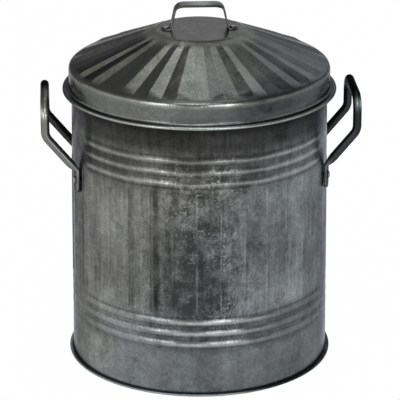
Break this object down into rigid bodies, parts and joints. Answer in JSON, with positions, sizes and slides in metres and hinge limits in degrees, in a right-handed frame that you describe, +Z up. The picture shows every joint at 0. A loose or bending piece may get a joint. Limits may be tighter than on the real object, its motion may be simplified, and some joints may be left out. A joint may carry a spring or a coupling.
{
  "type": "ash bucket",
  "caption": "Round galvanised sheet bucket with beaded wall, rigid rod side handles and a fluted conical lift-off lid with a strap handle, for holding ash.",
  "frame": {"origin": "middle of the foot, on the surface that the bucket stands on", "axes": "+Z up, the side handles on +X and -X, the lid strap along X"},
  "size_m": [0.3692, 0.3182, 0.425],
  "materials": {
    "wall_sheet": "weathered hot-dip galvanised, mottled spangle",
    "lid_sheet": "weathered hot-dip galvanised, mottled spangle",
    "lid_strap": "galvanised strap",
    "handle_rod": "smooth dark galvanised rod",
    "rivet": "galvanised rivet"
  },
  "bodies": {
    "bucket": {"body_shell": "wall_sheet", "base_pan": "wall_sheet", "right_handle": "handle_rod", "left_handle": "handle_rod", "right_front_rivet": "rivet", "right_rear_rivet": "rivet", "left_front_rivet": "rivet", "left_rear_rivet": "rivet"},
    "lid": {"lid_shell": "lid_sheet", "lid_handle": "lid_strap", "lid_left_rivet": "rivet", "lid_right_rivet": "rivet"}
  },
  "joints": [
    {"name": "lid_lift", "type": "slide", "parent": "bucket", "child": "lid", "axis": [0, 0, 1], "range_m": [0, 0.3]}
  ]
}
